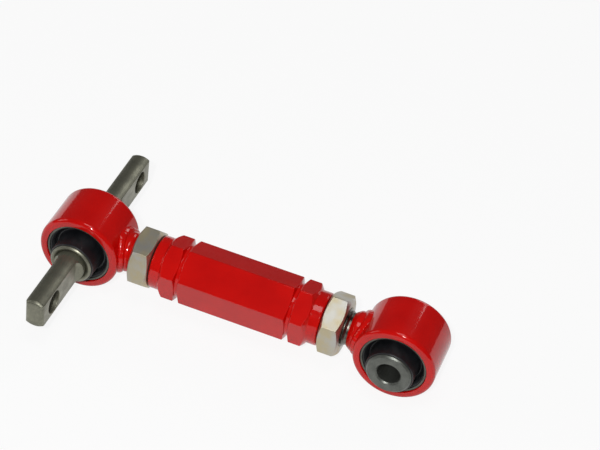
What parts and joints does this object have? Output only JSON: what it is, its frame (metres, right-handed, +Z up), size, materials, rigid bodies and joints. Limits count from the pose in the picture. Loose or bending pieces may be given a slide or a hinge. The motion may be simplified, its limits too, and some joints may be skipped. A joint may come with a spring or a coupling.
{
  "type": "adjustable suspension control arm",
  "caption": "Short adjustable camber arm: a hexagon turnbuckle between two rubber-bushed eyes, one bolted through a sleeve and one on a cross pin with drilled ears.",
  "frame": {"origin": "centre of the inner eye, on the axis of the cross pin, midway between its two bolt holes", "axes": "+X along the arm from the inner eye to the outer eye, Y along the axis of both eyes, +Z up"},
  "size_m": [0.218, 0.13, 0.044],
  "materials": {
    "red_paint": "gloss red powder coat over steel",
    "zinc_plate": "bright zinc plated steel nut",
    "dark_steel": "dark phosphate finish on machined steel",
    "shell_steel": "thin rolled steel ring, oiled",
    "stud_steel": "rolled thread, oiled steel",
    "rubber": "moulded black rubber, slightly glossy"
  },
  "bodies": {
    "pin": {"cross_pin": "dark_steel", "inner_bush_sleeve": "dark_steel"},
    "inner_end": {"inner_eye": "red_paint", "inner_bush_shell": "shell_steel", "inner_bush_rubber": "rubber", "inner_stud": "stud_steel", "inner_stud_weld": "red_paint"},
    "inner_nut": {"inner_jam_nut": "zinc_plate"},
    "adjuster": {"turnbuckle": "red_paint"},
    "outer_nut": {"outer_jam_nut": "zinc_plate"},
    "outer_end": {"outer_eye": "red_paint", "outer_bush_shell": "shell_steel", "outer_bush_rubber": "rubber", "outer_stud": "stud_steel", "outer_stud_weld": "red_paint"},
    "knuckle_sleeve": {"outer_bush_sleeve": "dark_steel"}
  },
  "joints": [
    {"name": "inner_bush_twist", "type": "hinge", "parent": "pin", "child": "inner_end", "pos_m": [0, 0, 0], "axis": [0, 1, 0], "range_deg": [-25, 25], "stiffness_Nm_per_rad": 40},
    {"name": "inner_thread_travel", "type": "slide", "parent": "inner_end", "child": "inner_nut", "axis": [1, 0, 0], "range_m": [0, 0.012]},
    {"name": "turnbuckle_turn", "type": "hinge", "parent": "inner_nut", "child": "adjuster", "pos_m": [0.0388, 0, 0], "axis": [1, 0, 0], "range_deg": [0, 2881]},
    {"name": "outer_nut_hold", "type": "hinge", "parent": "adjuster", "child": "outer_nut", "pos_m": [0.132, 0, 0], "axis": [1, 0, 0], "range_deg": [-2881, 0]},
    {"name": "outer_thread_travel", "type": "slide", "parent": "outer_nut", "child": "outer_end", "axis": [1, 0, 0], "range_m": [0, 0.01201]},
    {"name": "outer_bush_twist", "type": "hinge", "parent": "outer_end", "child": "knuckle_sleeve", "pos_m": [0.174, 0, 0], "axis": [0, 1, 0], "range_deg": [-25, 25], "stiffness_Nm_per_rad": 40}
  ],
  "couplings": [
    {"joint": "turnbuckle_turn", "follows": "inner_thread_travel", "rad_per_m": 4188.8},
    {"joint": "outer_nut_hold", "follows": "inner_thread_travel", "rad_per_m": -4188.8},
    {"joint": "outer_thread_travel", "follows": "inner_thread_travel", "ratio": 1}
  ]
}
